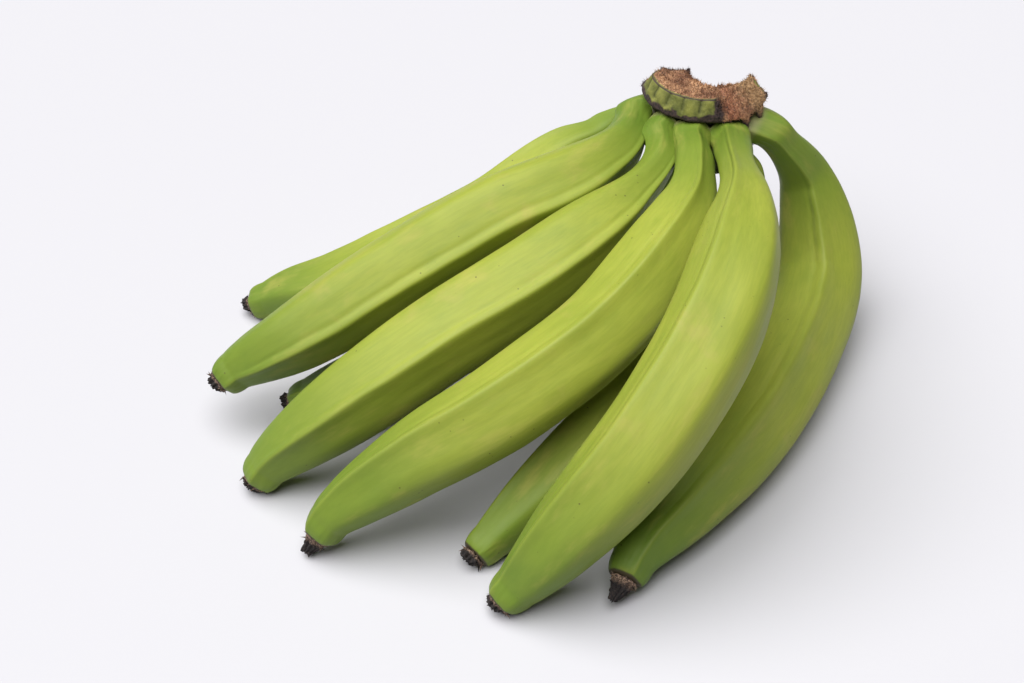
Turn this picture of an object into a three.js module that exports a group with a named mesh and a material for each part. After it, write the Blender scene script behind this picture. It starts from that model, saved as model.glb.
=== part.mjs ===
// A hand of green cooking bananas, lying on its fingertips with the cut crown held up.
// Millimetres, +Z up. The table is the plane Z = 0.
//
// Every piece grows along a line, so every piece is a loft: closed rings of points that
// follow the line, with a flat fan at each end. A finger is a five-sided section that
// swells from its stalk to its belly and tapers to its tip. The crown is the C-shaped
// cushion that grew round the bunch's main stalk, swept round the place that stalk left.

import * as THREE from 'three';

const { degToRad, clamp, lerp, smoothstep } = THREE.MathUtils;

// ---- Sizes shared by the fingers ------------------------------------------------------

const TABLE = 0;                // fingers are pressed flat where they meet it
const GAP = 0.4;                // left between two pieces that touch
const CORNERS = 5;              // of a finger's section
const CORNER_SHARPNESS = 12;    // higher makes them crisper
const FINGER_RINGS = 30;
const FINGER_SIDES = 20;
const FLOWER_RINGS = 5;
const FLOWER_SIDES = 10;

// How a finger's girth runs along its length. Swell: how far the radius has gone from
// stalk to belly, by the share of the length beyond the end of the stalk. Taper: how far
// it still is from tip to belly, by the share of the whole length.
const SWELL = [
  [-0.2, 0], [-0.04, 0], [0.04, 0.07], [0.11, 0.32], [0.17, 0.62], [0.24, 0.86], [0.31, 0.96], [0.4, 1],
];
const TAPER = [
  [0.52, 1], [0.64, 0.985], [0.74, 0.92], [0.82, 0.79], [0.88, 0.62], [0.93, 0.43], [0.965, 0.26],
  [0.985, 0.12], [1, 0],
];

// ---- The crown ------------------------------------------------------------------------

const CROWN_X = 96;             // middle of the cushion's outline
const CROWN_Y = 53;
const RIM_HEIGHT = 118.5;       // underside of the overhanging rim
const CUT_HEIGHT = 131;         // the face left by the knife
const FOOT_HEIGHT = 82;         // underside of the hub the stalks grow from
const RIM_REACH_X = 31.5;
const RIM_REACH_Y = 30;
const CUT_INSET = 4;            // the outer wall leans in this far, from rim to cut face
const HUB_INSET = 5.5;          // the hub stands this far inside the rim
const SCOOP_X = 103;            // axis and radius of the hollow the main stalk left
const SCOOP_Y = 56;
const SCOOP_RADIUS = 16;
const THINNEST = 5;             // wall of the hub where the scoop comes nearest
const CROWN_FROM = -9;          // degrees round from the left, by the front, to the right
const CROWN_TO = 171;
const CROWN_RINGS = 40;
const END_WEAR = 6;             // how far the top of the wall leans in at the two ends
const SCALLOPS = 9;             // shallow swellings of the outer wall
const SCALLOP_DEPTH = 0.7;
const SCAR_FROM = 96;           // where a second, slanting cut bares the fibre
const SCAR_TO = 158;
const SCAR_BITE = 9;            // how far it pushes in the top of the wall
const FLAPS = [[128, 3.5], [149, 2.5]];  // torn points under the rim: degrees, drop
const FLAP_HALF_WIDTH = 7;      // degrees

// ---- The fingers ----------------------------------------------------------------------
// root:   degrees round the crown and height at which the stalk leaves the hub
// stalk:  share of the length before the finger starts to swell
// girth:  radius to the corners at the stalk, the belly and the tip
// roll:   degrees by which the corners are turned, at the stalk and at the tip
// flower: length and end radius of the dried flower left on the tip
// path:   points along the axis after the root, ending where the dried flower starts

const FINGERS = [
  {
    name: 'finger_upper_1', root: [2, 109], stalk: 0.02, girth: [7.5, 23, 8], roll: [12, 12],
    flower: [5, 4],
    path: [
      [54, 25, 105.5], [33, 3.5, 101], [-11, -18, 92], [-58, -39, 73], [-102, -54, 50], [-133, -57, 31],
      [-141, -60, 25],
    ],
  },
  {
    name: 'finger_upper_2', root: [42.5, 110], stalk: 0.09, girth: [7.2, 24, 8.2], roll: [10, 52],
    flower: [5, 4],
    path: [
      [72, 8, 109], [57, -18, 105], [13, -57, 90], [-33, -83, 72], [-77, -100, 45], [-113, -106, 15],
      [-121, -109, 5],
    ],
  },
  {
    name: 'finger_upper_3', root: [74, 110], stalk: 0.07, girth: [8, 23.5, 8], roll: [0, 36],
    flower: [11, 2.5],
    path: [
      [87, -7, 114], [81, -40, 111.5], [47, -92, 92], [1, -124, 70], [-48, -138, 43], [-82, -147, 19],
      [-88, -150, 10],
    ],
  },
  {
    name: 'finger_upper_4', root: [111, 108.5], stalk: 0.14, girth: [9, 25.5, 8.5], roll: [22, 32],
    flower: [5, 4],
    path: [
      [106, -15, 122], [106, -53, 125], [91, -113, 110], [60, -155, 77], [22, -177, 36], [4, -182.5, 14],
      [-5, -186, 5.4],
    ],
  },
  {
    name: 'finger_upper_5', root: [156, 107], stalk: 0.02, girth: [8.6, 26, 8], roll: [36, 6],
    flower: [12, 2],
    path: [
      [136, 40, 96], [151, 44, 69], [157.5, 18, 29], [122, -71, 21], [77, -140, 20], [57, -165, 16],
      [50, -177, 10],
    ],
  },
  {
    name: 'finger_lower_1', root: [-8, 97.5], stalk: 0.09, girth: [6.2, 20, 7], roll: [10, 20],
    flower: [6, 3],
    path: [
      [55, 62, 102], [33, 48, 94], [-6, 26, 66], [-47, 14, 48], [-90, 13, 26], [-118, 20, 14],
      [-135, 23, 6],
    ],
  },
  {
    name: 'finger_lower_2', root: [60, 92], stalk: 0.1, girth: [6.5, 20, 7], roll: [30, 34],
    flower: [5, 4],
    path: [[67, 16, 74], [24, -17, 53], [-25, -44, 38], [-71, -56, 23], [-91, -55, 14], [-108, -54, 6]],
  },
  {
    name: 'finger_lower_3', root: [130, 91], stalk: 0.1, girth: [6.5, 20, 7.5], roll: [20, 28],
    flower: [5, 4],
    path: [[122, 17, 75], [100, -37, 47], [53, -92, 36], [11, -135, 21], [-6, -149, 12], [-17, -158, 6]],
  },
];

// ---- Materials ------------------------------------------------------------------------

const material = (color, roughness) => new THREE.MeshStandardMaterial({ color, roughness, metalness: 0 });
const UPPER_SKIN = material(0x93a845, 0.5);
const LOWER_SKIN = material(0x7d983a, 0.5);
const CUT_FIBRE = material(0x7a5238, 0.9);
const DRIED_FLOWER = material(0x352a26, 0.85);

// ---- Lofting --------------------------------------------------------------------------

// A closed solid through rings of points, each anticlockwise seen from the far end, with
// as many points as the others. At each end a fan spreads from the point that hubOf picks.
function loft(name, rings, skin, hubOf = middle) {
  const sides = rings[0].length;
  const points = rings.flat();
  const index = [];
  for (let ring = 0; ring + 1 < rings.length; ring++) {
    for (let side = 0; side < sides; side++) {
      const a = ring * sides + side;
      const b = ring * sides + (side + 1) % sides;
      index.push(a, b, b + sides, a, b + sides, a + sides);
    }
  }
  for (const last of [false, true]) {
    const start = last ? (rings.length - 1) * sides : 0;
    const hub = points.push(hubOf(points.slice(start, start + sides))) - 1;
    for (let side = 0; side < sides; side++) {
      const a = start + side;
      const b = start + (side + 1) % sides;
      index.push(hub, ...(last ? [a, b] : [b, a]));
    }
  }
  const mesh = new THREE.Mesh(new THREE.BufferGeometry().setFromPoints(points).setIndex(index), skin);
  mesh.name = name;
  return mesh;
}

function middle(points) {
  return points.reduce((sum, p) => sum.add(p), new THREE.Vector3()).divideScalar(points.length);
}

// Value at x of a smooth line through [x, value] points that never overshoots them.
function smoothTable(table, x) {
  const last = table.length - 1;
  let i = 0;
  while (i < last - 1 && x > table[i + 1][0]) i++;
  const rise = (k) => (table[k + 1][1] - table[k][1]) / (table[k + 1][0] - table[k][0]);
  const slope = (k) => {
    if (k === 0 || k === last) return 0;
    const product = rise(k - 1) * rise(k);
    return product <= 0 ? 0 : 2 * product / (rise(k - 1) + rise(k));
  };
  const width = table[i + 1][0] - table[i][0];
  const s = clamp((x - table[i][0]) / width, 0, 1);
  return lerp(table[i][1], table[i + 1][1], s * s * (3 - 2 * s))
    + width * s * (1 - s) * (slope(i) * (1 - s) - slope(i + 1) * s);
}

// ---- The crown ------------------------------------------------------------------------

const ellipseReach = (angle, x, y) => 1 / Math.hypot(Math.cos(angle) / x, Math.sin(angle) / y);

function rimReach(angle) {
  return ellipseReach(angle, RIM_REACH_X, RIM_REACH_Y);
}

// Distance from the crown's middle to the scoop, along a ray.
function scoopReach(angle) {
  const dx = CROWN_X - SCOOP_X;
  const dy = CROWN_Y - SCOOP_Y;
  const along = -dx * Math.cos(angle) - dy * Math.sin(angle);
  return -along + Math.sqrt(along ** 2 - dx ** 2 - dy ** 2 + SCOOP_RADIUS ** 2);
}

function hubReach(angle) {
  return Math.max(rimReach(angle) - HUB_INSET, scoopReach(angle) + THINNEST);
}

// How far out a stalk's flat root must stand to clear the hub on both sides of it.
function hubClearance(angle) {
  const looks = [-0.4, -0.3, -0.2, -0.1, 0, 0.1, 0.2, 0.3, 0.4];
  return Math.max(...looks.map((look) => hubReach(angle + look) * Math.cos(look)));
}

function outFromCrown(angle, reach, height) {
  return new THREE.Vector3(
    CROWN_X - Math.cos(angle) * reach, CROWN_Y - Math.sin(angle) * reach, height);
}

// One upright slice of the cushion, from the scoop over the cut face and down the wall.
function crownSlice(degrees) {
  const angle = degToRad(degrees);
  const scoop = scoopReach(angle);
  const rim = rimReach(angle);
  const hub = hubReach(angle);
  const scallop = SCALLOP_DEPTH * Math.abs(Math.sin(degToRad(degrees - CROWN_FROM) * SCALLOPS));
  const scar = SCAR_BITE * smoothstep(degrees, SCAR_FROM, SCAR_FROM + 12)
    * (1 - smoothstep(degrees, SCAR_TO - 8, SCAR_TO + 6));
  const nearEnd = Math.min(degrees - CROWN_FROM, CROWN_TO - degrees);
  const worn = END_WEAR * (1 - smoothstep(nearEnd, 0, 16));
  const top = Math.max(rim - CUT_INSET - scar - worn, scoop + 1.5);
  const flap = ([at, depth]) => depth * Math.max(0, 1 - Math.abs(degrees - at) / FLAP_HALF_WIDTH);
  const drop = FLAPS.reduce((sum, each) => sum + flap(each), 0);
  return [
    [scoop, CUT_HEIGHT],
    [lerp(scoop, top, 0.5), CUT_HEIGHT - 1.2],
    [top, CUT_HEIGHT - 0.5],
    [lerp(rim, top, 0.45) + scallop, lerp(RIM_HEIGHT, CUT_HEIGHT, 0.5)],
    [rim - 0.6 + scallop * 0.5, RIM_HEIGHT + 2.2],
    [rim, RIM_HEIGHT + 0.8 - drop],
    [rim - 2.2, RIM_HEIGHT - 0.2 - drop],
    [hub, RIM_HEIGHT - 0.6],
    [hub, lerp(FOOT_HEIGHT, RIM_HEIGHT, 0.3)],
    [hub - 2, FOOT_HEIGHT + 1.5],
    [lerp(scoop, hub, 0.5), FOOT_HEIGHT],
    [scoop, FOOT_HEIGHT + 1],
    [scoop, lerp(FOOT_HEIGHT, CUT_HEIGHT, 0.5)],
  ].map(([reach, height]) => outFromCrown(angle, reach, height));
}

const SCOOP_EDGE = 0;           // a slice's first point, and the one where rim meets hub
const LEDGE = 7;

function crown() {
  const slices = [];
  for (let ring = 0; ring <= CROWN_RINGS; ring++) {
    slices.push(crownSlice(lerp(CROWN_FROM, CROWN_TO, ring / CROWN_RINGS)));
  }
  const underCut = (slice) => slice[SCOOP_EDGE].clone().lerp(slice[LEDGE], 0.5);
  return loft('crown', slices, CUT_FIBRE, underCut);
}

// ---- Fingers --------------------------------------------------------------------------

// Distance from the axis to the skin for a section whose corners reach 1. Each flat side
// pushes the skin in, and the corners between them are rounded.
function section(angle) {
  let sum = 0;
  for (let side = 0; side < CORNERS; side++) {
    const lean = Math.cos(angle - (side + 0.5) * 2 * Math.PI / CORNERS) / Math.cos(Math.PI / CORNERS);
    if (lean > 0) sum += lean ** CORNER_SHARPNESS;
  }
  return sum ** (-1 / CORNER_SHARPNESS);
}

// A finger's axis, and the steady sideways direction its rings are laid out from.
function axis({ root: [degrees, height], path }) {
  const angle = degToRad(degrees);
  const reach = hubClearance(angle) + GAP;
  const points = [0, 3, 6].map((out) => outFromCrown(angle, reach + out, height));
  for (const point of path) points.push(new THREE.Vector3(...point));
  const curve = new THREE.CatmullRomCurve3(points);
  curve.arcLengthDivisions = 600;
  const start = curve.getPointAt(0.1);
  const toTip = curve.getPointAt(1).sub(start);
  const across = toTip.clone().cross(curve.getPointAt(0.5).sub(start)).normalize();
  return { curve, across, outward: points[1].clone().sub(points[0]).normalize() };
}

function ring(centre, along, across, roll, sides, reach) {
  const sideways = across.clone().addScaledVector(along, -across.dot(along)).normalize();
  const outward = sideways.clone().cross(along);
  const points = [];
  for (let side = 0; side < sides; side++) {
    const angle = side / sides * 2 * Math.PI;
    const point = centre.clone()
      .addScaledVector(outward, -Math.cos(angle + roll) * reach(angle))
      .addScaledVector(sideways, -Math.sin(angle + roll) * reach(angle));
    point.z = Math.max(point.z, TABLE);
    points.push(point);
  }
  return points;
}

function finger(spec) {
  const { curve, across, outward } = axis(spec);
  const [stalk, belly, tip] = spec.girth;
  const rings = [];
  for (let step = 0; step <= FINGER_RINGS; step++) {
    const share = step / FINGER_RINGS;
    const radius = lerp(stalk, belly, smoothTable(SWELL, share - spec.stalk))
      - (belly - tip) * (1 - smoothTable(TAPER, share));
    const along = step === 0 ? outward : curve.getTangentAt(share);
    const roll = degToRad(lerp(spec.roll[0], spec.roll[1], share));
    rings.push(ring(curve.getPointAt(share), along, across, roll, FINGER_SIDES,
      (angle) => radius * section(angle)));
  }
  return loft(spec.name, rings, spec.name.includes('upper') ? UPPER_SKIN : LOWER_SKIN);
}

// What is left of the flower: a shrivelled stub that goes on from the tip.
function flower(spec) {
  const { curve, across } = axis(spec);
  const [length, end] = spec.flower;
  const along = curve.getTangentAt(1);
  const rings = [];
  for (let step = 0; step <= FLOWER_RINGS; step++) {
    const share = step / FLOWER_RINGS;
    const centre = curve.getPointAt(1).addScaledVector(along, GAP + share * length);
    centre.z += share * 2;
    const radius = lerp(spec.girth[2] * 0.86, end, share ** 0.8);
    rings.push(ring(centre, along, across, 0, FLOWER_SIDES,
      (angle) => radius * (1 + 0.1 * Math.sin(3 * angle + 5 * share))));
  }
  return loft(spec.name.replace('finger', 'flower'), rings, DRIED_FLOWER);
}

// ---- Assembly -------------------------------------------------------------------------

const hand = new THREE.Group();
hand.add(crown());
for (const spec of FINGERS) hand.add(finger(spec), flower(spec));

// The origin is on the table, in the middle of the room the hand takes up.
const room = new THREE.Box3().setFromObject(hand);
hand.position.set(-(room.min.x + room.max.x) / 2, -(room.min.y + room.max.y) / 2, 0);

export default hand;
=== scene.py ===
# The looks of a hand of green cooking bananas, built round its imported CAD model.
# Every place comes from that frame: metres, +Z up, the table at Z = 0.

import math

import bmesh
import bpy
import numpy as np
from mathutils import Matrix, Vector, noise


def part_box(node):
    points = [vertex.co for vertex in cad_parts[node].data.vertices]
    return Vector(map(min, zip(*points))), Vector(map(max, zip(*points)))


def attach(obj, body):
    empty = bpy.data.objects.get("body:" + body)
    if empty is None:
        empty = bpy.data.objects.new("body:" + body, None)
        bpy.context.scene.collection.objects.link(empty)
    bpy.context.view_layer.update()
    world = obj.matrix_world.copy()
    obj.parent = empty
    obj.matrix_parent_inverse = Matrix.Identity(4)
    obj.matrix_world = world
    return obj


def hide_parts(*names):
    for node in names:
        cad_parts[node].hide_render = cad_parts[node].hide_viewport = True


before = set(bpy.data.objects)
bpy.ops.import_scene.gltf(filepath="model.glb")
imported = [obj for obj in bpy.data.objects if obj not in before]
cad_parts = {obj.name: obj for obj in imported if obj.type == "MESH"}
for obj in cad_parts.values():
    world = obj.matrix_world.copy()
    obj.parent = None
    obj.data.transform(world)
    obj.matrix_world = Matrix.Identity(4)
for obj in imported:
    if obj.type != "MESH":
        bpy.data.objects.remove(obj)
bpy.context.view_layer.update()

# ---- The crown --------------------------------------------------------------------------
# The crown is the woody cushion that held the hand to the plant's main stalk. Outside it
# has green rind; a knife left its top and its hollow inner side bare, and the wet fibre
# has dried orange brown. It grew in one piece with the fingers, whose stalks leave it below.

MM = 0.001                  # a millimetre in metres
SLICES = 300                # of the swept cushion, from its left end to its right
SLICE_POINTS = 190          # round each slice
EDGE_ROUNDING = 3           # passes that soften the cushion's edges

# A slice has 13 corners, in this order: over the cut face, down the rind to the rim, under
# it, down the hub that the stalks leave, and up the scoop. A place down a slice is counted
# in corners, and a place round the crown is a share of the way from its left end.
SLICE_CORNERS = 13
CUT_EDGE, RIM, RIM_UNDER, FOOT, SCOOP_FOOT = 2, 5, 6, 10, 11

BARE_DEPTH = 1.0 * MM       # of the torn, fibrous relief on bare faces
COARSE_TEAR, COARSE_SHARE = 2.8 * MM, 0.75
FINE_TEAR, FINE_SHARE = 0.9 * MM, 0.5
WALL_DEPTH = 0.4 * MM       # of the rind's own unevenness
WALL_LUMPS = 6 * MM         # and the size of its lumps
GROOVES = 10                # upright creases in the rind
GROOVE_DEPTH = 1.3 * MM
GROOVE_WANDER = 0.008       # how far they stray from an even spacing, round the crown
STAIN_SIZE = 5 * MM         # of the wandering in the borders between rind, cut and stain
STAIN_ROUND = 0.022         # how far a border wanders round the crown, and down a slice
STAIN_DOWN = 0.3
SCAR = (0.585, 0.625, 0.93, 0.97)   # the second cut, round the crown: starts, full, full, ends
END_CUT = 0.025             # bare face at either end
BAND_HEIGHT = 0.36          # of the dark band under the rind, as a share of the wall
BAND_WANDER = 0.16          # how far its upper border strays, as a share of the wall
BAND_IN_GROOVES = 0.12      # and how much lower it lies in a groove

RAGGED_EDGE = 2.2 * MM      # how deep the scoop's broken top edge is notched
NOTCH_SIZE = 4 * MM
NOTCH_BIAS = 0.25           # more is broken off than left standing
NOTCH_LIMITS = (-0.35, 1)
CROWN_ARC = 0.11            # metres round the crown along the scoop's edge
EDGE_REACH = 0.35           # how far down a slice the broken edge reaches
TOOTH_HEIGHT = 3.2 * MM     # a splinter left standing on the scoop's edge
TOOTH_AT, TOOTH_WIDTH = 0.13, 0.022
FLAPS = ((0.77, 4.0 * MM), (0.885, 5.0 * MM))   # torn strips under the rim: place and drop
FLAP_WIDTH, FLAP_TAPER = 0.035, 1.3
FLAP_OUT = 1.2 * MM         # how far they stand off
FLAP_REACH = 0.55           # how far down a slice they reach

CUT_LINE, CUT_LINE_WIDTH = 0.85, 0.09           # how dark the line along the cut's edge is
FOLD_SHADE_AT, FOLD_SHADE_WIDTH = 0.603, 0.028        # painted shade in the fold where the second cut starts
TOOTH_SCORCH = 0.8                              # how black the splinter is
END_SCORCH, END_SCORCH_WIDTH = 0.6, 0.05        # the left end, and how far round that goes
FLAP_SCORCH, FLAP_SCORCH_WIDTH = 0.7, 0.03      # the torn flaps
GROOVE_SHADE_FADE = 1.6                               # how fast a groove's painted shade fades up its sides
REDDEST_AT, RED_WIDTH = 0.70, 0.055             # the fresh, rusty part of the second cut
STRAW_FROM, STRAW_FULL = 0.78, 0.86             # the pale, dry part at the right end

FIBRES = 2.6e6              # loose ends of fibre on a square metre of bare face
FIBRE_LENGTH = 1.5 * MM
FIBRE_THICKNESS = 0.11 * MM
TUFT_STRAY = 0.8            # how far a sliver leans from straight out, against 1 outwards
SMALLEST_TUFT, LARGEST_TUFT = 0.35, 1.3         # shares of the length given

heart = sum(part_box("crown"), Vector()) / 2


def grown_rings(name):
    """The rings of points that a CAD piece was lofted through, from its end by the crown."""
    mesh = bmesh.new()
    mesh.from_mesh(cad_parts[name].data)
    bmesh.ops.remove_doubles(mesh, verts=mesh.verts, dist=0.001 * MM)
    pole = max(mesh.verts, key=lambda v: (len(v.link_edges), -(v.co - heart).length))
    after = {}
    for face in pole.link_faces:
        corners = list(face.verts)
        turn = corners.index(pole)
        after[corners[turn - 1]] = corners[turn - 2]
    ring = [min(after, key=lambda v: tuple(v.co))]
    while after[ring[-1]] != ring[0]:
        ring.append(after[ring[-1]])
    rings = [ring]
    below = {pole}
    while True:
        over = []
        for a, b in zip(ring, ring[1:] + ring[:1]):
            beside = [v for face in mesh.edges.get((a, b)).link_faces for v in face.verts]
            over.append(next(v for v in beside if v not in (a, b) and v not in below))
        if len(set(over)) < len(ring):
            break
        below = set(ring)
        ring = over[-1:] + over[:-1]
        rings.append(ring)
    found = np.array([[v.co for v in ring] for ring in rings])
    mesh.free()
    return found


def eased(points, spots, closed=False):
    """Places on the smooth line through points, at spots counted in points."""
    last = len(points)
    base = np.floor(spots).astype(int)
    if not closed:
        base = np.clip(base, 0, last - 2)
    t = (spots - base).reshape(-1, *[1] * (points.ndim - 1))

    def at(i):
        return points[i % last] if closed else points[np.clip(i, 0, last - 1)]

    before, here, there, beyond = at(base - 1), at(base), at(base + 1), at(base + 2)
    return here + 0.5 * t * (there - before + t * (
        2 * before - 5 * here + 4 * there - beyond + t * (3 * (here - there) + beyond - before)))


def roughness_at(points, size, seed, depth=4):
    """Smooth random heights from about -1 to 1, with features of the given size."""
    shift = Vector((seed * 7.3, seed * 3.1, seed * 5.7))
    return np.array([
        noise.fractal(Vector(p) / size + shift, 1.0, 2.0, depth) for p in points.reshape(-1, 3)
    ]).reshape(points.shape[:-1])


def smoothstep(value, low, high):
    """0 up to low, 1 from high on, and a smooth rise between them."""
    share = np.clip((value - low) / (high - low), 0, 1)
    return share * share * (3 - 2 * share)


def between(value, start, full, still_full, end):
    """1 from full to still_full, and a smooth fall to 0 at start and at end."""
    return smoothstep(value, start, full) * (1 - smoothstep(value, still_full, end))


def bell(value, middle, width):
    """1 at middle, and a smooth fall to nothing about two widths away."""
    return np.exp(-((value - middle) / width) ** 2)


def solid(name, rings, **marks):
    """A closed mesh through rings of points, with a pole at each end and named marks."""
    count, sides = rings.shape[:2]
    index = np.arange(count * sides).reshape(count, sides)
    beside = np.roll(index, -1, 1)
    faces = np.stack([index[:-1], beside[:-1], beside[1:], index[1:]], -1).reshape(-1, 4).tolist()
    start, end = count * sides, count * sides + 1
    faces += [(start, b, a) for a, b in zip(index[0].tolist(), beside[0].tolist())]
    faces += [(end, a, b) for a, b in zip(index[-1].tolist(), beside[-1].tolist())]
    points = np.concatenate([rings.reshape(-1, 3), [rings[0].mean(0), rings[-1].mean(0)]])
    mesh = bpy.data.meshes.new(name)
    mesh.from_pydata(points.tolist(), [], faces)
    for label, values in marks.items():
        wide = values.ndim == 3
        ends = [values[0].mean(0).reshape(1, -1), values[-1].mean(0).reshape(1, -1)]
        whole = np.concatenate([values.reshape(count * sides, -1), *ends])
        layer = mesh.attributes.new(label, "FLOAT_VECTOR" if wide else "FLOAT", "POINT")
        layer.data.foreach_set("vector" if wide else "value", whole.astype(np.float32).ravel())
    mesh.shade_smooth()
    piece = bpy.data.objects.new(name, mesh)
    bpy.context.scene.collection.objects.link(piece)
    return piece


def skin_normals(rings):
    """Which way is out at each point of rings."""
    along = np.gradient(rings, axis=0)
    around = np.roll(rings, -1, 1) - np.roll(rings, 1, 1)
    out = np.cross(around, along)
    return out / np.maximum(np.linalg.norm(out, axis=-1, keepdims=True), 1e-12)


def pigment(code):
    """A colour as scene light, from its usual six-figure screen code."""
    parts = [int(code[i:i + 2], 16) / 255 for i in (0, 2, 4)]
    return (*[c / 12.92 if c <= 0.04045 else ((c + 0.055) / 1.055) ** 2.4 for c in parts], 1)


def node(tree, kind, wired, **settings):
    """Adds a node. What is wired to a socket is a value or another node's output."""
    made = tree.nodes.new(kind)
    for name, value in settings.items():
        setattr(made, name, value)
    for socket, value in wired.items():
        if isinstance(value, bpy.types.NodeSocket):
            tree.links.new(value, made.inputs[socket])
        else:
            made.inputs[socket].default_value = value
    return made


def finish(name):
    """A new material: its tree and its shader."""
    material = bpy.data.materials.new(name)
    material.use_nodes = True
    tree = material.node_tree
    return material, tree, tree.nodes["Principled BSDF"]


def painted(tree, label):
    """A mark that the mesh carries."""
    return node(tree, "ShaderNodeAttribute", {}, attribute_name=label).outputs["Fac"]


def mix(tree, share, first, second):
    """The first colour, or this share of the way to the second."""
    return node(tree, "ShaderNodeMix", {0: share, 6: first, 7: second}, data_type="RGBA").outputs[2]


def spread(tree, value, low, high, start=0.0, end=1.0):
    """Carries low..high over to start..end, softly, and holds it there."""
    made = node(tree, "ShaderNodeMapRange", {0: value, 1: low, 2: high, 3: start, 4: end},
                interpolation_type="SMOOTHSTEP")
    return made.outputs[0]


def mottle(tree, where, per_metre, detail=3.0, rough=0.55, stretch=(1, 1, 1)):
    """Cloudy noise from 0 to 1, this many features to the metre."""
    scaled = node(tree, "ShaderNodeVectorMath", {0: where, 1: stretch}, operation="MULTIPLY")
    clouds = node(tree, "ShaderNodeTexNoise", {
        "Vector": scaled.outputs[0], "Scale": per_metre, "Detail": detail, "Roughness": rough})
    return clouds.outputs[0]


def times(tree, first, second):
    """One value times another."""
    return node(tree, "ShaderNodeMath", {0: first, 1: second}, operation="MULTIPLY").outputs[0]


def cushion():
    """The crown's slices, finely resampled, and what each point of them is."""
    slices = grown_rings("crown")
    if slices[0, :, 0].mean() > slices[-1, :, 0].mean():
        slices = slices[::-1, ::-1]
    slices = np.stack([np.roll(s, -int(s[:, 2].argmax()), 0) for s in slices])
    slices = eased(slices, np.linspace(0, len(slices) - 1, SLICES))
    side_lengths = np.linalg.norm(np.roll(slices, -1, 1) - slices, axis=-1).mean(0)
    reached = np.concatenate([[0], np.cumsum(side_lengths)])
    spots = np.linspace(0, reached[-1], SLICE_POINTS, endpoint=False)
    spots = np.interp(spots, reached, np.arange(SLICE_CORNERS + 1))
    base = np.floor(spots).astype(int) % SLICE_CORNERS
    share = (spots % 1)[:, None]
    slices = slices[:, base] * (1 - share) + slices[:, (base + 1) % SLICE_CORNERS] * share
    for _ in range(EDGE_ROUNDING):
        slices = (np.roll(slices, 1, 1) + 2 * slices + np.roll(slices, -1, 1)) / 4
    return slices, spots


crown_slices, crown_spots = cushion()
round_the_crown = np.linspace(0, 1, SLICES)[:, None] + 0 * crown_spots
down_the_slice = crown_spots + 0 * round_the_crown
out = skin_normals(crown_slices)

# Which parts are bare: over the top, up the scoop, at both ends, and where the slanting
# second cut has pushed in the wall. The rest of the wall keeps its rind.
wander = roughness_at(crown_slices, STAIN_SIZE, seed=11)
wandering_round = round_the_crown + STAIN_ROUND * wander
wandering_down = down_the_slice + STAIN_DOWN * wander
scar = between(wandering_round, *SCAR)
scar *= smoothstep(down_the_slice, CUT_EDGE - 0.4, CUT_EDGE)
scar *= 1 - smoothstep(wandering_down, RIM - 0.1, RIM + 0.4)
over_top = 1 - smoothstep(down_the_slice, CUT_EDGE - 0.3, CUT_EDGE + 0.03)
up_scoop = smoothstep(down_the_slice, FOOT, SCOOP_FOOT)
ends = 1 - smoothstep(np.minimum(wandering_round, 1 - wandering_round), 0.0, END_CUT)
bare = np.clip(over_top + up_scoop + scar + ends, 0, 1)
# Painted shade: under the rim the crown is coloured a dark, shaded green.
shade_below_rim = smoothstep(down_the_slice, RIM - 0.3, RIM_UNDER + 0.4) * (1 - up_scoop)
rim_height, cut_height = (
    np.array([np.interp(corner, crown_spots, z) for z in crown_slices[..., 2]])[:, None]
    for corner in (RIM, CUT_EDGE))
up_the_wall = (crown_slices[..., 2] - rim_height) / (cut_height - rim_height)
on_wall = smoothstep(down_the_slice, CUT_EDGE - 0.1, CUT_EDGE + 0.1) * (1 - up_scoop)
rind = (1 - bare) * on_wall * smoothstep(up_the_wall, BAND_HEIGHT - 0.1, BAND_HEIGHT + 0.15)

# The relief: torn fibre where it is bare, lumps and upright grooves where it has rind.
torn = (roughness_at(crown_slices, COARSE_TEAR, seed=1) * COARSE_SHARE
        + roughness_at(crown_slices, FINE_TEAR, seed=2) * FINE_SHARE)
uneven = roughness_at(crown_slices, WALL_LUMPS, seed=3)
pleat = np.abs(np.sin((round_the_crown + GROOVE_WANDER * uneven) * math.pi * GROOVES))
groove = np.sqrt(pleat) - 1
push = bare * torn * BARE_DEPTH + (1 - bare) * uneven * WALL_DEPTH + rind * groove * GROOVE_DEPTH
crown_slices += out * push[..., None]

# The knife broke the thin edge of the scoop, left a splinter on it, and tore the rim.
edge_place = np.stack([round_the_crown * CROWN_ARC, 0 * push, 0 * push], -1)
notch = np.clip(roughness_at(edge_place, NOTCH_SIZE, seed=5, depth=5) + NOTCH_BIAS, *NOTCH_LIMITS)
near_edge = bell(np.minimum(down_the_slice, SLICE_CORNERS - down_the_slice), 0, EDGE_REACH)
crown_slices[..., 2] -= near_edge * notch * RAGGED_EDGE
splinter = bell(round_the_crown, TOOTH_AT, TOOTH_WIDTH)
crown_slices[..., 2] += near_edge * splinter * TOOTH_HEIGHT
near_rim = bell(down_the_slice, RIM + 0.2, FLAP_REACH)
for place, drop in FLAPS:
    strip = np.clip(1 - np.abs(round_the_crown - place) / FLAP_WIDTH, 0, 1) ** FLAP_TAPER
    strip = strip * near_rim
    crown_slices[..., 2] -= strip * drop
    crown_slices += out * (strip * FLAP_OUT)[..., None]
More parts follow.
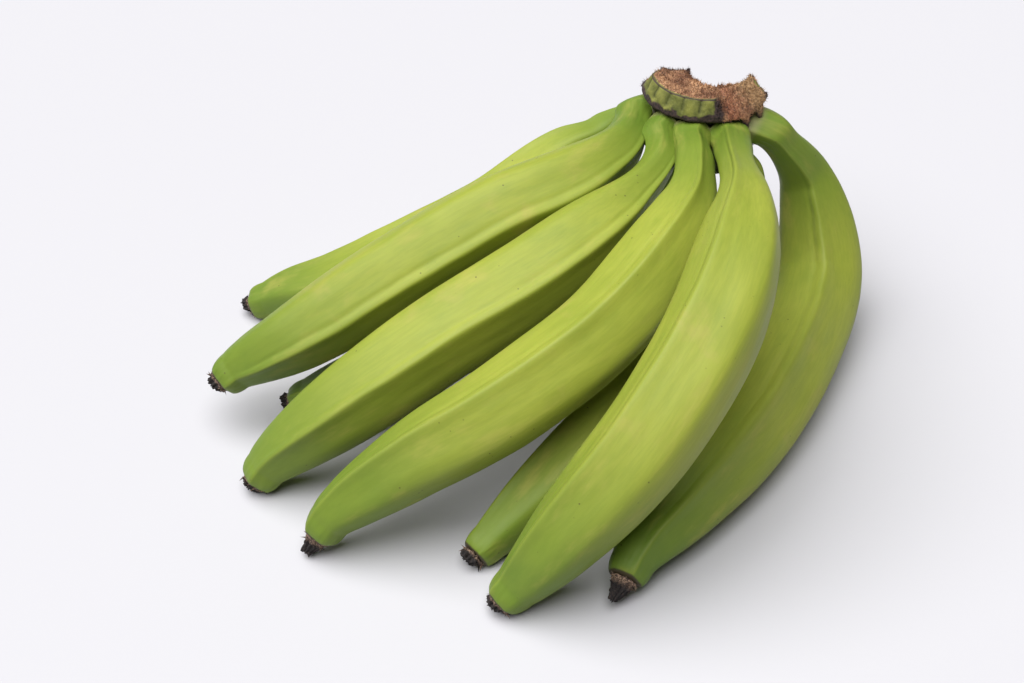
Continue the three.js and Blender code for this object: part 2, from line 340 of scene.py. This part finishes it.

# What has gone black: the band under the rind, the line along the cut, and the tips of the
# splinter, the left end and the flaps. The fold where the second cut starts is painted shade.
over_band = up_the_wall + BAND_WANDER * wander + BAND_IN_GROOVES * (1 - pleat) ** 2
band = (1 - smoothstep(over_band, BAND_HEIGHT - 0.16, BAND_HEIGHT + 0.1)) * on_wall * (1 - scar)
cut_line = CUT_LINE * bell(down_the_slice, CUT_EDGE, CUT_LINE_WIDTH) * (1 - scar)
# Painted shade: the fold where the second cut starts is coloured black.
fold_shade = bell(wandering_round, FOLD_SHADE_AT, FOLD_SHADE_WIDTH) * (1 - up_scoop)
fold_shade *= smoothstep(down_the_slice, CUT_EDGE - 0.1, CUT_EDGE + 0.4)
scorch = TOOTH_SCORCH * near_edge * splinter
scorch += END_SCORCH * bell(wandering_round, 0, END_SCORCH_WIDTH) * over_top
for place, _ in FLAPS:
    scorch += FLAP_SCORCH * bell(round_the_crown, place, FLAP_SCORCH_WIDTH) * near_rim
bruise = np.clip(band + cut_line + fold_shade + scorch, 0, 1) * (1 - shade_below_rim)
red = bell(wandering_round, REDDEST_AT, RED_WIDTH) * scar
straw = smoothstep(wandering_round, STRAW_FROM, STRAW_FULL) * np.clip(scar + over_top, 0, 1)
# Painted shade: the rind is coloured darker down in each groove.
crease = (1 - pleat) ** GROOVE_SHADE_FADE * rind
crown = solid("crown", crown_slices, bare=bare, bruise=bruise, crease=crease, under=shade_below_rim,
              red=red, straw=straw)


def crown_finish():
    """Brown fibre where the crown is bare, green rind where it isn't, black where it is bruised, with
    painted shade in the fold, the grooves, the fibre's pits and under the rim.
    """
    material, tree, shader = finish("cut crown and its rind")
    brown, light_brown, rust, straw_colour = map(pigment, ("7c543c", "b58a66", "8a4f36", "b5976a"))
    pit_shade, pale_thread = map(pigment, ("33201a", "c8a678"))
    dark_green, olive, groove_shade_green, pale_speck = map(pigment, ("545825", "83833c", "343a18", "9aa05a"))
    shaded_green, black, grey_black = map(pigment, ("2a3010", "1d1617", "4a3836"))
    where = node(tree, "ShaderNodeTexCoord", {}).outputs["Object"]
    clouds = mottle(tree, where, per_metre=140)
    grit = mottle(tree, where, per_metre=900, detail=5.0, rough=0.7)
    threads = mottle(tree, where, per_metre=1500, detail=2.0, rough=0.6, stretch=(1, 1, 0.16))
    fibre = mix(tree, spread(tree, clouds, 0.35, 0.68), brown, light_brown)
    fibre = mix(tree, times(tree, painted(tree, "red"), 0.6), fibre, rust)
    fibre = mix(tree, times(tree, painted(tree, "straw"), 0.5), fibre, straw_colour)
    # painted shade: the fibre is darker brown in the hollows of its bump
    fibre = mix(tree, spread(tree, grit, 0.36, 0.5, 0.9, 0.0), fibre, pit_shade)
    fibre = mix(tree, spread(tree, threads, 0.55, 0.8, 0.0, 0.6), fibre, pale_thread)
    green = mix(tree, spread(tree, clouds, 0.32, 0.68), dark_green, olive)
    # painted shade: darker green down in the rind's grooves
    crease = times(tree, painted(tree, "crease"), spread(tree, clouds, 0.3, 0.6, 0.25, 1.0))
    green = mix(tree, spread(tree, crease, 0.0, 1.0, 0.0, 0.8), green, groove_shade_green)
    green = mix(tree, spread(tree, grit, 0.55, 0.72, 0.0, 0.35), green, pale_speck)
    skin = mix(tree, spread(tree, painted(tree, "bare"), 0.3, 0.7), green, fibre)
    # painted shade under the rim
    skin = mix(tree, painted(tree, "under"), skin, shaded_green)
    burnt = mix(tree, spread(tree, grit, 0.35, 0.65), black, grey_black)
    # black where bruised, and painted shade in the fold
    skin = mix(tree, spread(tree, painted(tree, "bruise"), 0.15, 0.75), skin, burnt)
    tree.links.new(skin, shader.inputs["Base Color"])
    tree.links.new(spread(tree, grit, 0.3, 0.7, 0.7, 0.95), shader.inputs["Roughness"])
    bump = node(tree, "ShaderNodeBump", {"Strength": 0.6, "Distance": 0.4 * MM, "Height": grit})
    tree.links.new(bump.outputs[0], shader.inputs["Normal"])
    return material


def tuft_tree():
    """Geometry Nodes that stand dry slivers on a body, thickest where it is painted."""
    tree = bpy.data.node_groups.new("dry tufts", "GeometryNodeTree")
    for label, kind in (("Body", "Geometry"), ("Painted", "String"), ("Per square metre", "Float"),
                        ("Length", "Float"), ("Thickness", "Float"), ("Rise", "Float"),
                        ("Paint", "Float"), ("Seed", "Int"), ("Finish", "Material")):
        tree.interface.new_socket(label, in_out="INPUT", socket_type="NodeSocket" + kind)
    tree.interface.new_socket("Body", in_out="OUTPUT", socket_type="NodeSocketGeometry")
    given = node(tree, "NodeGroupInput", {}).outputs
    mask = node(tree, "GeometryNodeInputNamedAttribute", {"Name": given["Painted"]}, data_type="FLOAT")
    density = times(tree, mask.outputs["Attribute"], given["Per square metre"])
    places = node(tree, "GeometryNodeDistributePointsOnFaces", {
        "Mesh": given["Body"], "Density": density, "Seed": given["Seed"]})
    sliver = node(tree, "GeometryNodeMeshCone", {
        "Vertices": 4, "Radius Top": 0.0, "Radius Bottom": given["Thickness"], "Depth": given["Length"]})
    sliver = node(tree, "GeometryNodeStoreNamedAttribute", {
        "Geometry": sliver.outputs["Mesh"], "Name": given["Painted"], "Value": given["Paint"]})
    stray = node(tree, "FunctionNodeRandomValue", {
        0: (-TUFT_STRAY,) * 3, 1: (TUFT_STRAY,) * 3, "Seed": given["Seed"]}, data_type="FLOAT_VECTOR")
    lean = node(tree, "ShaderNodeVectorMath", {
        0: places.outputs["Normal"], 1: stray.outputs[0]}, operation="ADD")
    upward = node(tree, "ShaderNodeCombineXYZ", {"Z": given["Rise"]})
    lean = node(tree, "ShaderNodeVectorMath", {
        0: lean.outputs[0], 1: upward.outputs[0]}, operation="ADD")
    turned = node(tree, "FunctionNodeAlignRotationToVector", {"Vector": lean.outputs[0]}, axis="Z")
    size = node(tree, "FunctionNodeRandomValue", {
        2: SMALLEST_TUFT, 3: LARGEST_TUFT, "Seed": given["Seed"]}, data_type="FLOAT")
    stood = node(tree, "GeometryNodeInstanceOnPoints", {
        "Points": places.outputs["Points"], "Instance": sliver.outputs[0],
        "Rotation": turned.outputs[0], "Scale": size.outputs[1]})
    joined = node(tree, "GeometryNodeJoinGeometry", {"Geometry": given["Body"]})
    tree.links.new(stood.outputs[0], joined.inputs[0])
    real = node(tree, "GeometryNodeRealizeInstances", {"Geometry": joined.outputs[0]})
    clad = node(tree, "GeometryNodeSetMaterial", {
        "Geometry": real.outputs[0], "Material": given["Finish"]})
    node(tree, "NodeGroupOutput", {0: clad.outputs[0]})
    return tree


TUFTS = tuft_tree()


def tufted(piece, **inputs):
    """Stands slivers on a piece, none of them into the table, and keeps it as a plain mesh."""
    modifier = piece.modifiers.new("tufts", "NODES")
    modifier.node_group = TUFTS
    for socket in TUFTS.interface.items_tree:
        label = socket.name.replace(" ", "_")
        if socket.in_out == "INPUT" and label in inputs:
            modifier[socket.identifier] = inputs[label]
    whole = piece.evaluated_get(bpy.context.evaluated_depsgraph_get())
    mesh = bpy.data.meshes.new_from_object(whole)
    piece.modifiers.remove(modifier)
    piece.data = mesh
    for point in mesh.vertices:
        point.co.z = max(point.co.z, 0)


cut_finish = crown_finish()
tufted(crown, Painted="bare", Per_square_metre=FIBRES, Length=FIBRE_LENGTH,
       Thickness=FIBRE_THICKNESS, Rise=0.5, Paint=1.0, Seed=4, Finish=cut_finish)
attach(crown, "root")
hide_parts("crown")

# ---- The fingers ------------------------------------------------------------------------
# Each finger is one fruit of the hand: a firm, five-cornered berry in a waxy green peel,
# grown from the crown on a narrow stalk. The upper row of five lies over a lower row of
# three, and the hand rests on its fingertips and on the belly of the last finger.

# Each finger: the way its one crisp ridge points (its other corners are softer), how much
# fuller its neck is than the plain stalk, and how far its neck leans on its neighbour.
FRONT_UP, LEFT_UP, RIGHT_UP, UP = (0, -0.64, 0.77), (-0.8, -0.3, 0.5), (0.5, -0.5, 0.7), (0, 0, 1)
UPRIGHT = (0, 0, 0)
FINGERS = {
    "finger_upper_1": (FRONT_UP, 0.1, UPRIGHT),
    "finger_upper_2": (FRONT_UP, 0.2, UPRIGHT),
    "finger_upper_3": (FRONT_UP, 0.26, UPRIGHT),
    "finger_upper_4": (LEFT_UP, 0.2, UPRIGHT),
    "finger_upper_5": (RIGHT_UP, 0.05, UPRIGHT),
    "finger_lower_1": (UP, 0.3, (0, -5.5 * MM, -4.5 * MM)),
    "finger_lower_2": (UP, 0.0, UPRIGHT),
    "finger_lower_3": (UP, 0.15, UPRIGHT),
}
CORNERS = 5
LENGTHWISE = 260            # rings of a finger
GIRTHWISE = 150             # points of a ring, closest together by the corners
CROWDING = 0.6
COLLAR = 2.5 * MM           # how far a stalk's end goes on into the crown
BODY_RINGS = slice(10, 20)  # of the CAD solid, where its corners show best
CRISPNESS = (1.0, 0.3, 0.5, 0.42, 0.3)  # of the corners, in order round from the crisp one
SOFTEST = 0.25              # a corner this soft has no ridge at all
SOFTENING = 0.55            # how far a corner is spread as it softens, in radians

RIDGE_RISE = 1.35 * MM      # a crisp corner stands out from its sides by this much more
RIDGE_WIDTH = 0.17          # how far a corner's ridge reaches over the side, in radians
RIDGE_EDGE = 0.035          # how sharp it is, in radians
RIDGE_SINK = 0.3            # how far the sides sink beside it, as a share of its rise
RIDGE_WANDER = 0.05         # how far it strays along the finger, in radians
WANDER_LENGTH = 30 * MM
FURROW_DEPTH = 0.45 * MM    # of a shallow furrow that runs beside the crisp ridge only
FURROW_OFF = 0.2            # how far from the ridge it runs, in radians
FURROW_WIDTH = 0.06
FURROW_KEEPS_TO = 0.3       # how close to there it has to be, which rules out other corners

BODY = (0.03, 0.22, 0.86, 0.985)    # swells and ridges along the finger: start, full, full, end
SWELLS = 0.45 * MM          # slow unevenness of the flat sides
SWELL_SIZE, SWELL_STRETCH = 14 * MM, 0.3
WRINKLES = 0.2 * MM         # fine creases of the stalk and the tip
WRINKLE_SIZE, WRINKLE_STRETCH = 2.2 * MM, 0.12
WRINKLED_STALK = (0.04, 0.16)       # where the stalk's creases start to fade, and are gone
WRINKLED_TIP = (0.95, 0.99)         # where the tip's creases start, and are full

BLUNT_END = 9 * MM          # the last stretch, which rounds off to the flower
SHOULDER = 0.66             # radius of the end face, as a share of the girth before it
NECK_FLARE = 0.5            # how much wider a stalk spreads where it joins its neighbours
FLARE_SHAPE = (1, 1, 0.35)  # less in height
FLARE_LENGTH = 11 * MM
NECK_MIDDLE = 27 * MM       # where the neck is fullest, and how far that spreads
NECK_SPREAD = 17 * MM


def finger_skin(name, toward):
    """A finger's finely resampled rings, each ring's way along, and the angles round it."""
    rough_rings = grown_rings(name)
    sides = rough_rings.shape[1]
    spokes = (rough_rings - rough_rings.mean(1, keepdims=True))[BODY_RINGS]
    reach = np.linalg.norm(spokes, axis=-1).mean(0)
    facing = (spokes @ np.array(toward, float)).mean(0)
    # Being a corner counts nine times as much as facing the right way.
    step = sides // CORNERS
    crisp = max(range(sides), key=lambda i: reach[i % step::step].sum() * 9 + facing[i])
    rough_rings = np.roll(rough_rings, -crisp, 1)
    rings = eased(rough_rings, np.linspace(0, len(rough_rings) - 1, LENGTHWISE))
    angle = np.arange(GIRTHWISE) / GIRTHWISE * math.tau
    angle = angle - CROWDING * np.sin(CORNERS * angle) / CORNERS
    spots = angle / math.tau * rings.shape[1]
    rings = np.swapaxes(eased(np.swapaxes(rings, 0, 1), spots, True), 0, 1)
    middle = rings.mean(1)
    length = np.concatenate([[0], np.cumsum(np.linalg.norm(np.diff(middle, axis=0), axis=1))])
    return rings, length, angle


def softened(rings, angle):
    """Rounds off all corners but the crisp one, and says how crisp it is at each angle."""
    crisp = np.interp(angle, np.arange(CORNERS + 1) * math.tau / CORNERS, [*CRISPNESS, CRISPNESS[0]])
    middle = rings.mean(1, keepdims=True)
    spokes = rings - middle
    reach = np.linalg.norm(spokes, axis=-1)
    pace = np.gradient(np.unwrap(angle))[None, :]
    apart = (angle[:, None] - angle + math.pi) % math.tau - math.pi
    window = bell(apart, 0, SOFTENING) * pace.T
    round_reach = reach @ (window / window.sum(0))
    wanted = round_reach + (reach - round_reach) * crisp
    return middle + spokes * (wanted / reach)[..., None], crisp


def blunted(rings, length):
    """Fills out the end of a finger to a rounded shoulder with a small end face."""
    middle = rings.mean(1, keepdims=True)
    left = np.clip(length[-1] - length, 0, BLUNT_END) / BLUNT_END
    girth = np.linalg.norm(rings - middle, axis=-1).mean(1)
    full = np.interp(length[-1] - BLUNT_END, length, girth)
    wanted = full * (SHOULDER + (1 - SHOULDER) * np.sqrt(1 - (1 - left) ** 2))
    gain = np.where(left < 1, wanted / girth, 1)
    return middle + (rings - middle) * np.maximum(gain, 1)[:, None, None]


def peeled(name, toward, fuller, lean, seed):
    """A finger in its peel, marked with what the peel's finish reads."""
    rings, length, angle = finger_skin(name, toward)
    rings, sharp = softened(rings, angle)
    rings = blunted(rings, length)
    middle = rings.mean(1, keepdims=True)
    flare = NECK_FLARE * bell(length, 0, FLARE_LENGTH)[:, None, None] * FLARE_SHAPE
    neck = bell(length, NECK_MIDDLE, NECK_SPREAD)[:, None, None]
    rings = middle + (rings - middle) * (1 + flare) * (1 + fuller * neck) + neck * lean
    out = skin_normals(rings)
    share = (length / length[-1])[:, None]
    # The grain runs along the finger: its places are as on the finger laid out straight.
    girth = np.linalg.norm(rings - rings.mean(1, keepdims=True), axis=-1).mean(1)[:, None]
    grain = np.stack([np.cos(angle) * girth, np.sin(angle) * girth, length[:, None] + 0 * angle], -1)
    along = np.stack([length * 0, length * 0, length], -1)
    wander = RIDGE_WANDER * roughness_at(along, WANDER_LENGTH, seed=seed + 9, depth=2)
    turned = (angle[None, :] + wander[:, None]) * CORNERS / math.tau + 0.5
    to_corner = (turned % 1 - 0.5) * math.tau / CORNERS
    reach = np.sqrt(to_corner ** 2 + RIDGE_EDGE ** 2) - RIDGE_EDGE
    sharp = np.clip((sharp - SOFTEST) / (1 - SOFTEST), 0, 1)
    ridge = np.exp(-reach / RIDGE_WIDTH) * sharp
    furrow = bell(to_corner, FURROW_OFF, FURROW_WIDTH) * bell(angle, FURROW_OFF, FURROW_KEEPS_TO)
    fullness = between(share, *BODY)
    slow = roughness_at(grain * [1, 1, SWELL_STRETCH], SWELL_SIZE, seed=seed, depth=2)
    fine = roughness_at(grain * [1, 1, WRINKLE_STRETCH], WRINKLE_SIZE, seed=seed + 20, depth=2)
    creased = 1 - smoothstep(share, *WRINKLED_STALK) + smoothstep(share, *WRINKLED_TIP)
    push = RIDGE_RISE * (ridge - RIDGE_SINK * sharp) + SWELLS * slow - FURROW_DEPTH * furrow
    push = push * fullness + WRINKLES * fine * creased
    rings = rings + out * push[..., None]
    rings[..., 2] = np.maximum(rings[..., 2], 0)
    # The stalk goes on into the crown.
    inward = rings[0].mean(0) - rings[3].mean(0)
    inward /= np.linalg.norm(inward)
    rings = np.concatenate([(rings[0] + inward * COLLAR)[None], rings])
    grain, ridge, share = (np.concatenate([mark[:1], mark]) for mark in (grain, ridge, share))
    from_crown = np.concatenate([[-COLLAR], length])[:, None] / MM
    to_flower = np.concatenate([[length[-1]], length[-1] - length])[:, None] / MM
    return solid(name, rings, grain=grain, share=share + 0 * angle, ridge=ridge,
                 from_crown=from_crown + 0 * angle, to_flower=to_flower + 0 * angle)


def peel_finish():
    """Waxy green peel, yellower on the belly, with long faint streaks, flecks and dark ends, a painted
    highlight on the stalk by the crown and a painted shade line along the ridges.
    """
    material, tree, shader = finish("green banana peel")
    end_green, belly_green, shade_green, yellow = map(pigment, ("5f7727", "929a3a", "7c8b30", "a69f4f"))
    band_green, streak_green, ridge_shade_green, blush = map(pigment, ("71842d", "556b21", "818b36", "a89a54"))
    brown_fleck, stalk_highlight, join_brown, rim_brown = map(pigment, ("4a4122", "a09e6c", "2c2618", "3a2d20"))
    grain = node(tree, "ShaderNodeAttribute", {}, attribute_name="grain").outputs["Vector"]
    share, ridge, from_crown, to_flower = (
        painted(tree, label) for label in ("share", "ridge", "from_crown", "to_flower"))
    where = node(tree, "ShaderNodeTexCoord", {}).outputs["Object"]
    clouds = mottle(tree, where, per_metre=22)
    bands = mottle(tree, grain, per_metre=85, detail=4.0, rough=0.6, stretch=(1, 1, 0.3))
    streaks = mottle(tree, grain, per_metre=650, rough=0.6, stretch=(1, 1, 0.12))
    pores = mottle(tree, where, per_metre=1500)
    belly = times(tree, spread(tree, share, 0.06, 0.3), spread(tree, share, 0.62, 0.98, 1.0, 0.0))
    peel = mix(tree, belly, end_green, belly_green)
    peel = mix(tree, spread(tree, clouds, 0.35, 0.65, 0.4, 0.0), peel, shade_green)
    peel = mix(tree, spread(tree, bands, 0.52, 0.76, 0.0, 0.45), peel, yellow)
    peel = mix(tree, spread(tree, bands, 0.25, 0.46, 0.35, 0.0), peel, band_green)
    peel = mix(tree, spread(tree, streaks, 0.38, 0.62, 0.12, 0.0), peel, streak_green)
    # painted shade: a darker green line along the ridges
    peel = mix(tree, spread(tree, ridge, 0.6, 1.0, 0.0, 0.3), peel, ridge_shade_green)
    patches = spread(tree, mottle(tree, where, per_metre=34, detail=4.0, rough=0.65), 0.56, 0.78, 0.0, 0.4)
    peel = mix(tree, times(tree, patches, belly), peel, blush)
    spots = node(tree, "ShaderNodeTexVoronoi", {"Vector": where, "Scale": 240.0, "Randomness": 1.0})
    fleck = times(tree, spread(tree, spots.outputs["Distance"], 0.06, 0.13, 1.0, 0.0),
                  spread(tree, mottle(tree, where, per_metre=55, detail=2.0), 0.58, 0.64))
    peel = mix(tree, times(tree, fleck, 0.75), peel, brown_fleck)
    # painted highlight: a pale ring on the stalk just out from the crown
    waxy = times(tree, spread(tree, from_crown, 1.0, 4.5, 0.75, 0.0),
                 spread(tree, bands, 0.3, 0.6, 0.5, 1.0))
    peel = mix(tree, waxy, peel, stalk_highlight)
    peel = mix(tree, spread(tree, from_crown, 0.0, 0.8, 0.9, 0.0), peel, join_brown)
    rim = node(tree, "ShaderNodeMath", {0: to_flower, 1: times(tree, bands, 1.6)}, operation="SUBTRACT")
    peel = mix(tree, spread(tree, rim.outputs[0], -0.4, 0.5, 0.95, 0.0), peel, rim_brown)
    tree.links.new(peel, shader.inputs["Base Color"])
    tree.links.new(spread(tree, bands, 0.3, 0.7, 0.46, 0.58), shader.inputs["Roughness"])
    shader.inputs["Specular IOR Level"].default_value = 0.25
    height = mix(tree, 0.3, pores, streaks)
    bump = node(tree, "ShaderNodeBump", {"Strength": 0.22, "Distance": 0.14 * MM, "Height": height})
    tree.links.new(bump.outputs[0], shader.inputs["Normal"])
    shader.inputs["Subsurface Weight"].default_value = 0.06
    shader.inputs["Subsurface Radius"].default_value = (0.5, 1.0, 0.2)
    shader.inputs["Subsurface Scale"].default_value = 1.5 * MM
    return material


peel = peel_finish()
for number, (name, (toward, fuller, lean)) in enumerate(FINGERS.items()):
    finger = peeled(name, toward, fuller, lean, number + 1)
    finger.data.materials.append(peel)
    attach(finger, "root")
    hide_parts(name)

# ---- The dried flowers ------------------------------------------------------------------
# Each fruit keeps the end of its flower: a black, shrivelled stub of dried petals that goes
# on from the tip. Two of them are longer and pointed.

FLOWER_LENGTHWISE = 60      # rings of a stub
FLOWER_GIRTHWISE = 120      # points of a ring
PLEATS = 11                 # folds that the petals dried into
PLEAT_DEPTH = 0.14          # share of the radius
PLEAT_TWIST = 2.5           # how far the folds shift on their way to the end, in radians
SHRINK = 0.86               # how much narrower it dried than the fruit's end face
CRUMPLE = 0.2               # share of the radius
CRUMPLE_SIZE = 2.2 * MM
RAGGED_TIP = 1.4 * MM       # how unevenly the petals end
RAGGED_SIZE = 1.6 * MM
SCRAPS = 2.2e5              # shreds of petal on a square metre
SCRAP_LENGTH = 2.6 * MM
SCRAP_THICKNESS = 0.45 * MM
SCRAPS_AT, SCRAPS_WIDTH = 0.12, 0.2             # where along the stub most of them are


def withered(name, seed):
    """A stub of dried petals, marked with the way along it and where it is torn."""
    rings = grown_rings(name)
    length = np.linalg.norm(rings[-1].mean(0) - rings[0].mean(0))
    rings = eased(rings, np.linspace(0, len(rings) - 1, FLOWER_LENGTHWISE))
    turn = np.arange(FLOWER_GIRTHWISE) / FLOWER_GIRTHWISE
    rings = np.swapaxes(eased(np.swapaxes(rings, 0, 1), turn * rings.shape[1], True), 0, 1)
    share = np.linspace(0, 1, FLOWER_LENGTHWISE)[:, None]
    angle = turn[None, :] * math.tau
    middle = rings.mean(1, keepdims=True)
    fold = np.sin(PLEATS * angle + PLEAT_TWIST * share + seed) * np.clip(share * 2, 0.15, 1)
    crumple = roughness_at(rings, CRUMPLE_SIZE, seed=seed + 40, depth=3) * np.clip(share * 3, 0.2, 1)
    swell = SHRINK + PLEAT_DEPTH * fold + CRUMPLE * crumple
    rings = middle + (rings - middle) * swell[..., None]
    forward = (rings[-1].mean(0) - rings[0].mean(0)) / length
    ragged = roughness_at(rings[-1:], RAGGED_SIZE, seed=seed + 60, depth=3)
    rings += forward * (ragged * share ** 3 * RAGGED_TIP)[..., None]
    rings[..., 2] = np.maximum(rings[..., 2], 0)
    torn = bell(share, SCRAPS_AT, SCRAPS_WIDTH)
    return solid(name, rings, share=share + 0 * angle, torn=torn + 0 * angle)


def flower_finish():
    """Nearly black petals, browner and paler where they leave the fruit."""
    material, tree, shader = finish("dried flower")
    black, grey_brown, brown, pale_brown = map(pigment, ("120f10", "3b302c", "3a2c26", "947a66"))
    where = node(tree, "ShaderNodeTexCoord", {}).outputs["Object"]
    grit = mottle(tree, where, per_metre=1300, detail=4.0, rough=0.65)
    dry = mix(tree, spread(tree, grit, 0.4, 0.72), black, grey_brown)
    base = mix(tree, spread(tree, grit, 0.42, 0.58), brown, pale_brown)
    dry = mix(tree, spread(tree, painted(tree, "share"), 0.1, 0.42, 1.0, 0.0), dry, base)
    tree.links.new(dry, shader.inputs["Base Color"])
    shader.inputs["Roughness"].default_value = 0.85
    bump = node(tree, "ShaderNodeBump", {"Strength": 0.6, "Distance": 0.3 * MM, "Height": grit})
    tree.links.new(bump.outputs[0], shader.inputs["Normal"])
    return material


dried = flower_finish()
for number, finger_name in enumerate(FINGERS):
    name = finger_name.replace("finger", "flower")
    flower = withered(name, number)
    tufted(flower, Painted="torn", Per_square_metre=SCRAPS, Length=SCRAP_LENGTH,
           Thickness=SCRAP_THICKNESS, Rise=0.0, Paint=0.0, Seed=number, Finish=dried)
    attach(flower, "root")
    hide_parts(name)

# ---- The table, the light and the camera --------------------------------------------------
# The hand lies on a plain pale table under one far, broad lamp, above it and a little to
# the left. The camera looks down on it from in front.

TABLE_SIDE = 40.0
TABLE_COLOUR = "bab9bd"
LAMP_SPREAD = 75.0          # degrees across, as seen from the hand
LAMP_POWER = 5.9
LAMP_PLACE = (-0.65, -0.25, 2.2)
ROOM_LIGHT = 0.05
ROOM_COLOUR = (1.0, 0.98, 1.0, 1)
LENS = 70.0                 # millimetres, on a sensor this wide
SENSOR = 36.0
ELEVATION = 40.0            # degrees over the table
DISTANCE = 1.03             # from the point on the table that the camera looks at
CROWN_RIGHT_OF_AIM = 95.8 * MM      # and how far that point is from under the crown
CROWN_BEHIND_AIM = 40.5 * MM

bpy.ops.mesh.primitive_plane_add(size=TABLE_SIDE)
table = bpy.context.object
table.name = "table"
tabletop, tree, shader = finish("white table")
shader.inputs["Base Color"].default_value = pigment(TABLE_COLOUR)
shader.inputs["Roughness"].default_value = 0.7
table.data.materials.append(tabletop)

scene = bpy.context.scene
scene.world = bpy.data.worlds.new("white room")
scene.world.use_nodes = True
sky = scene.world.node_tree.nodes["Background"]
sky.inputs["Color"].default_value = ROOM_COLOUR
sky.inputs["Strength"].default_value = ROOM_LIGHT

lamp = bpy.data.objects.new("lamp", bpy.data.lights.new("lamp", "SUN"))
lamp.data.angle = math.radians(LAMP_SPREAD)
lamp.data.energy = LAMP_POWER
lamp.location = LAMP_PLACE
lamp.rotation_euler = Vector(LAMP_PLACE).to_track_quat("Z", "Y").to_euler()
scene.collection.objects.link(lamp)

aim = Vector((heart.x - CROWN_RIGHT_OF_AIM, heart.y - CROWN_BEHIND_AIM, 0))
slope = math.radians(ELEVATION)
camera = bpy.data.objects.new("camera", bpy.data.cameras.new("camera"))
camera.data.lens = LENS
camera.data.sensor_width = SENSOR
camera.location = aim + DISTANCE * Vector((0, -math.cos(slope), math.sin(slope)))
camera.rotation_euler = (math.pi / 2 - slope, 0, 0)
scene.collection.objects.link(camera)
scene.camera = camera
scene.view_settings.view_transform = "Standard"
